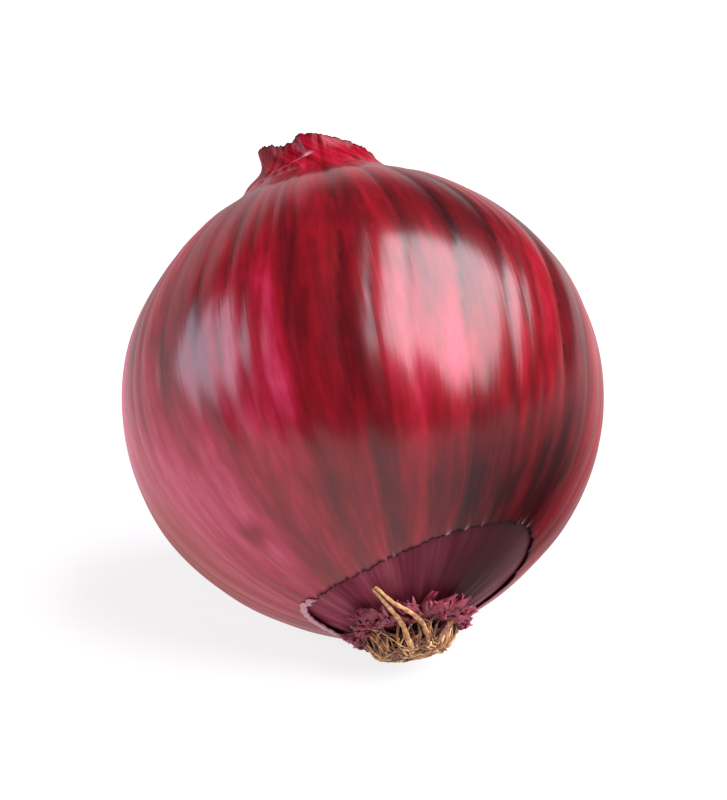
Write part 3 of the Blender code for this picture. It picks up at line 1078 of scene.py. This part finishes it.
def make_scrap(number):
    """A bunch of shreds, shorter and flatter towards the table."""
    picks = np.random.default_rng(200 + number)
    middle = -16.0 + (number - 1) * 360.0 / SCRAPS
    free = upper_side(middle)
    points, faces, tints = [], [], []
    for index in range(SHREDS):
        length = LONGEST_SHRED * (0.2 + 0.8 * free) * picks.uniform(0.3, 1.0)
        sheet = shred(picks, middle + picks.uniform(-28.0, 28.0), length, 0.3 + 0.7 * free)
        faces.append(faces_of_grid(ALONG, ACROSS, around=False) + index * ALONG * ACROSS)
        points.append(sheet.reshape(-1, 3))
        tint = picks.uniform(0.15, 0.5) + np.linspace(0.0, 0.35, ALONG)[:, None]
        tints.append((tint + np.zeros((ALONG, ACROSS))).ravel())
    piece = add_piece(
        f"skin_scrap_{number}_shreds",
        laid_down(np.concatenate(points)),
        np.concatenate(faces).tolist(),
        SCRAP,
        {"tint": np.concatenate(tints)[:, None]},
    )
    wall = piece.modifiers.new("wall", "SOLIDIFY")
    wall.thickness = 0.13 * MM
    wall.offset = 1.0
    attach(piece, "root")
    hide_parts(f"skin_scrap_{number}")


for number in range(1, SCRAPS + 1):
    make_scrap(number)

# %% [markdown]
# ## The roots
#
# Dried onion roots are flat, twisted threads half a millimetre to a millimetre wide. They leave
# the plate pointing away from the bulb, then fall over and mat together. Each thread is a tube
# with an oval section swept along a curve, and a whole bundle is worked out at once.

# %% Root material
def root_material():
    """Dry plant fibre: straw to dark brown, matt, with a faint nap like string."""
    material = new_material("dry_root_fibre", IOR=1.45, Roughness=0.75, Sheen_Weight=0.1)
    tint = add_node(material, "Attribute", "Fac", {"attribute_name": "tint"})
    bark = speckle(material, 0.8 * MM, 3.0)
    pigment = add_node(
        material,
        "ValToRGB",
        stops=(
            (0.0, "#24120A"),
            (0.3, "#5E3424"),
            (0.6, "#98663F"),
            (0.85, "#C4945F"),
            (1.0, "#DEB98C"),
        ),
        fac=weighted(material, -0.5, ((tint, 1.0), (bark, 1.0))),
    )
    bump = add_node(material, "Bump", height=bark, distance=0.1 * MM, strength=0.6)
    feed_shader(material, Base_Color=pigment, Normal=bump)
    return material


ROOT = root_material()
print(ROOT.name, "made")

# %% [markdown]
# ### Tubes along curves
#
# A path alone doesn't say which way a flat thread faces. A frame that is carried along the path,
# and only straightened where the path bends, keeps the oval section from spinning by itself.

# %% Tubes along curves
ROOT_STEPS, ROOT_SIDES = 28, 8  # rings along a thread, and corners round it


def tubes(paths, widths, flatness, twists):
    """Oval tubes along many paths at once. paths is (thread, step, 3).

    The section's frame starts square to the path and is carried along it, losing at each step only
    what has turned out of square.
    """
    tangents = np.gradient(paths, axis=1)
    tangents /= np.linalg.norm(tangents, axis=-1, keepdims=True)
    side = np.cross(tangents[:, 0], np.array([0.31, 0.52, 0.79]))
    sides = []
    for step in range(paths.shape[1]):
        side = side - (side * tangents[:, step]).sum(-1, keepdims=True) * tangents[:, step]
        side = side / np.linalg.norm(side, axis=-1, keepdims=True)
        sides.append(side)
    sides = np.stack(sides, axis=1)
    other = np.cross(tangents, sides)
    turn = np.linspace(0, 2 * math.pi, ROOT_SIDES, endpoint=False)
    step = np.linspace(0.0, 1.0, paths.shape[1])[None, :, None]
    wide = (np.cos(turn) * widths[..., None])[..., None]
    thick = (np.sin(turn) * widths[..., None] * flatness[:, None, None])[..., None]
    spin = (twists[:, None, None] * step)[..., None]
    along_side = sides[:, :, None] * np.cos(spin) + other[:, :, None] * np.sin(spin)
    along_other = other[:, :, None] * np.cos(spin) - sides[:, :, None] * np.sin(spin)
    return paths[:, :, None] + wide * along_side + thick * along_other


print("a thread has", ROOT_STEPS * ROOT_SIDES, "points")

# %% [markdown]
# ### Where the threads go
#
# A thread is given by four points round the axis, each with a clearance from what it lies on. So it
# follows the plate and the onion's end, and nothing sinks in or floats.


# %% Where the threads go
def over_onion(longitude, radius, clearance):
    """Control points round the axis: (x, y, how far out from the plate or the onion)."""
    across, away = out_from_axis(longitude)
    return np.stack([radius * across, radius * away, clearance + 0.0 * radius], axis=-1)


def threads(picks, controls, wobble):
    """Smooth paths through each thread's control points, with a small wander of their own.

    The third number of a control point is a clearance: it is measured out from the plate's face
    near the axis and from the onion's outline farther out, with a blend between the two. It shrinks
    towards the side that lies nearest to the table.
    """
    count, knots, _ = controls.shape
    step = np.linspace(0.0, 1.0, ROOT_STEPS)
    table = controls.transpose(1, 0, 2).reshape(knots, -1)
    paths = smooth_through(np.linspace(0.0, 1.0, knots), table, step)
    paths = paths.reshape(ROOT_STEPS, count, 3).transpose(1, 0, 2)
    phase = picks.uniform(0.0, 6.3, (count, 1, 3))
    speed = picks.uniform(7.0, 16.0, (count, 1, 3))
    wander = np.sin(speed * step[None, :, None] + phase) * step[None, :, None]
    paths = paths + wobble[:, None, None] * wander
    radius = np.hypot(paths[..., 0], paths[..., 1])
    onion = outline(share_at_radius(np.maximum(radius, ROOT_END_RADIUS)))[..., 1]
    blend = fade(radius, PLATE_RADIUS * 0.85, PLATE_RADIUS * 1.3)
    base = (PLATE_TOP - PLATE_THICKNESS) * (1 - blend) + onion * blend
    to_table = paths[..., :2] @ TO_TABLE
    flattened = 1 - 0.75 * fade(to_table, -0.3 * PLATE_RADIUS, 0.8 * PLATE_RADIUS)
    paths[..., 2] = base - np.maximum(paths[..., 2] * flattened, 0.2 * MM)
    return paths


def matted(picks, longitude, depth, limit, count):
    """Threads that lie across the plate's face every way, pulled in to the limit radius."""
    first = longitude + picks.normal(0.0, 25.0, count)
    start = over_onion(first, PLATE_RADIUS * picks.uniform(0.3, 1.05, count), 0.3 * MM)
    heading = first + picks.uniform(60.0, 300.0, count)
    length = picks.uniform(3.0, 7.5, count) * MM
    ahead = over_onion(heading, length, 0.0)
    aside = over_onion(heading + 90.0, picks.uniform(-1.6, 1.6, count) * MM, 0.0)
    middle = start + aside
    controls = [start, middle + 0.35 * ahead, middle + 0.7 * ahead, start + ahead]
    controls = np.stack(controls, axis=1)
    radius = np.hypot(controls[..., 0], controls[..., 1])
    controls *= np.minimum(1.0, picks.uniform(0.5, 1.0, (count, 1)) * limit / radius)[..., None]
    controls[..., 2] = picks.uniform(0.2, 1.0, (count, 1)) * depth * np.array([0.3, 1.0, 1.0, 0.6])
    return controls


def reaching(picks, longitude, reach, depth, count):
    """Threads that leave the plate and lean out over the onion's end, drifting round as they go."""
    first = (longitude + picks.normal(0.0, 16.0, count))[:, None]
    drift = picks.normal(0.0, 34.0, count)[:, None] * np.array([0.0, 0.35, 0.75, 1.0])
    start = PLATE_RADIUS * picks.uniform(0.3, 0.95, count)[:, None]
    end = PLATE_RADIUS + reach * picks.uniform(0.25, 1.0, count)[:, None]
    radius = start + (end - start) * np.array([0.0, 0.4, 0.75, 1.0])
    heights = picks.uniform(0.5, 1.0, (count, 1)) * depth * np.array([0.25, 1.0, 1.0, 0.75])
    return over_onion(first + drift, radius, heights)


print("the plate is", round(2 * PLATE_RADIUS / MM, 1), "mm across")

# %% [markdown]
# ### Twelve bundles
#
# The design has twelve roots round the plate, and each becomes a bundle. Bundles on the free side
# are deeper and reach further out than those that are pressed against the table.

# %% Bundles of roots
ROOTS = 12
# Two long roots whose tips meet over the bare inner skin: longitude, radius and clearance in mm.
LONG_ROOTS = {
    1: ((-2.0, 5.4, 1.2), (-7.0, 9.2, 1.8), (-11.5, 12.6, 1.7), (-16.5, 15.8, 0.8)),
    2: ((23.0, 6.8, 1.1), (8.0, 9.8, 1.8), (-5.5, 12.9, 1.8), (-15.0, 16.0, 1.0)),
}


LONG_ROOT_WIDTH = 0.94 * MM


def make_root(number):
    """A bundle of threads: most lie on the plate and some reach out. Two bundles have a long one."""
    picks = np.random.default_rng(300 + number)
    longitude = -20.0 + (number - 1) * 360.0 / ROOTS
    free = upper_side(longitude)
    reach, depth = (0.2 + 4.4 * free**1.5) * MM, (0.4 + 0.7 * free) * MM
    limit = PLATE_RADIUS * (0.9 + 0.45 * free)
    flat_ones = matted(picks, longitude, depth, limit, 8 + round(4 * free))
    controls = np.concatenate([flat_ones, reaching(picks, longitude, reach, depth, 6)])
    half_widths = picks.uniform(0.18, 0.42, len(controls)) * MM
    wobble, tints = np.full(len(controls), 0.3 * MM), picks.uniform(0.15, 0.9, len(controls))
    flatness, twists = np.full(len(controls), 0.55), picks.uniform(-5, 5, len(controls))
    if number in LONG_ROOTS:
        turn, radius, clearance = np.array(LONG_ROOTS[number]).T
        long_root = over_onion(turn, radius * MM, clearance * MM)
        controls = np.concatenate([controls, long_root[None]])
        half_widths = np.append(half_widths, LONG_ROOT_WIDTH / 2)
        flatness, twists = np.append(flatness, 0.8), np.append(twists, 0.6)
        wobble, tints = np.append(wobble, 0.09 * MM), np.append(tints, 0.66)
    paths = threads(picks, controls, wobble)
    count = len(controls)
    step = np.linspace(0.0, 1.0, ROOT_STEPS)[None, :]
    widths = half_widths[:, None] * (1 - 0.5 * step**1.5)
    widths = widths * (1 + 0.12 * np.sin(40 * step + picks.uniform(0, 6, (count, 1))))
    rings = tubes(paths, widths, flatness, twists)
    faces = []
    for index in range(count):
        faces += capped_faces(ROOT_STEPS, ROOT_SIDES, index * ROOT_STEPS * ROOT_SIDES)
    tint = tints[:, None, None] + 0.15 * step[..., None] + np.zeros((1, 1, ROOT_SIDES))
    piece = add_piece(
        f"root_{number:02d}_threads",
        laid_down(rings),
        faces,
        ROOT,
        {"tint": tint.reshape(-1, 1)},
    )
    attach(piece, "root")
    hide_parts(f"root_{number:02d}")


for number in range(1, ROOTS + 1):
    make_root(number)

# %% [markdown]
# ## The table
#
# The onion lies on a plain white table that glows a little itself, as a light table does. So the
# floor is white all over and the onion's shadow on it is faint.

# %% Table
TABLE_HALF = 3.0  # metres, far past the edges of the view


def make_table():
    """One square of opal plastic lit from below: even white, with no gloss to mirror the onion."""
    material = new_material(
        "translucent_white_light_table",
        Base_Color=(0.2, 0.2, 0.2, 1.0),
        Roughness=0.8,
        Specular_IOR_Level=0.0,
        Emission_Color=(1.0, 1.0, 1.0, 1.0),
        Emission_Strength=0.81,
    )
    mesh = bpy.data.meshes.new("table")
    corners = TABLE_HALF * np.array([(-1, -1, 0), (1, -1, 0), (1, 1, 0), (-1, 1, 0)])
    mesh.from_pydata(corners.tolist(), [], [(0, 1, 2, 3)])
    mesh.materials.append(material)
    table = bpy.data.objects.new("table", mesh)
    bpy.context.scene.collection.objects.link(table)
    print("table", 2 * TABLE_HALF, "m wide")


make_table()

# %% [markdown]
# ## The lights
#
# A large soft box at the upper right gives the broad pink highlight, and a smaller, bluer one at
# the left gives the mauve one. The panels between the veins break both up.

# %% Soft boxes
def aimed(location, target, up):
    """A matrix at the location whose -Z looks at the target and whose +Y is nearest to up."""
    back = (Vector(location) - Vector(target)).normalized()
    right = Vector(up).cross(back).normalized()
    turned = Matrix((right, back.cross(right), back)).transposed().to_4x4()
    return Matrix.Translation(location) @ turned


def soft_box(name, direction, distance, width, height, radiance, tint, up):
    """A rectangle of light as bright as the given radiance, aimed at the onion."""
    light = bpy.data.lights.new(name, "AREA")
    light.shape = "RECTANGLE"
    light.size = width
    light.size_y = height
    light.energy = radiance * math.pi * width * height
    light.color = tint
    box = bpy.data.objects.new(name, light)
    place = BODY_CENTRE + Vector(direction).normalized() * distance
    box.matrix_world = aimed(place, BODY_CENTRE, up)
    bpy.context.scene.collection.objects.link(box)


RIGHT_BOX, LEFT_BOX = (0.60, -0.17, 0.77), (-0.95, -0.06, 0.32)  # directions from the onion
COOL_WHITE, WINDOW_BLUE = (1.0, 0.98, 1.06), (0.97, 0.94, 1.18)
soft_box("soft_box_right", RIGHT_BOX, 0.8, 0.88, 1.04, 9.1, COOL_WHITE, (0.0, 1.0, 0.25))
soft_box("soft_box_left", LEFT_BOX, 0.8, 0.5, 0.42, 5.0, WINDOW_BLUE, (0.0, 0.0, 1.0))
print(len(bpy.data.lights), "soft boxes")

# %% [markdown]
# ## The room
#
# Glossy things show their room. This one is bright and a little rosy at eye level behind the onion
# and to its left, which gives the sheen along that edge, and dim everywhere else, so that the
# middle of the onion stays deep red.

# %% Room
world = bpy.data.worlds.new("rosy_room")
world.use_nodes = True
bpy.context.scene.world = world
LOW_AT_THE_BACK = (-0.45, 0.60, -0.66)
place = add_node(world, "TexCoord", "Generated")
dot = {"operation": "DOT_PRODUCT"}
towards = add_node(world, "VectorMath", "Value", dot, in_0=place, in_1=LOW_AT_THE_BACK)
strength = add_node(
    world,
    "MapRange",
    0,
    {"interpolation_type": "SMOOTHSTEP"},
    value=towards,
    from_min=0.2,
    from_max=0.55,
    to_min=0.1,
    to_max=1.3,
)
backdrop = world.node_tree.nodes["Background"]
backdrop.inputs["Color"].default_value = (1.0, 0.74, 0.79, 1.0)
world.node_tree.links.new(strength, backdrop.inputs["Strength"])
print("room light:", world.name)

# %% [markdown]
# ## The camera
#
# A long lens from more than half a metre away keeps the onion as round as it is, and the camera
# looks down on it as someone at a kitchen table does.

# %% Camera
camera_data = bpy.data.cameras.new("camera")
camera_data.lens = 178.0
camera_data.sensor_width = 36.0
camera = bpy.data.objects.new("camera", camera_data)
bpy.context.scene.collection.objects.link(camera)
ELEVATION = math.radians(22.0)
DISTANCE = 0.64  # metres from the middle of the body
eye = BODY_CENTRE + DISTANCE * Vector((0.0, -math.cos(ELEVATION), math.sin(ELEVATION)))
camera.matrix_world = aimed(eye, BODY_CENTRE, (0, 0, 1))
bpy.context.scene.camera = camera
bpy.context.scene.view_settings.view_transform = "Standard"
print("camera at", [round(c, 3) for c in eye], "m")
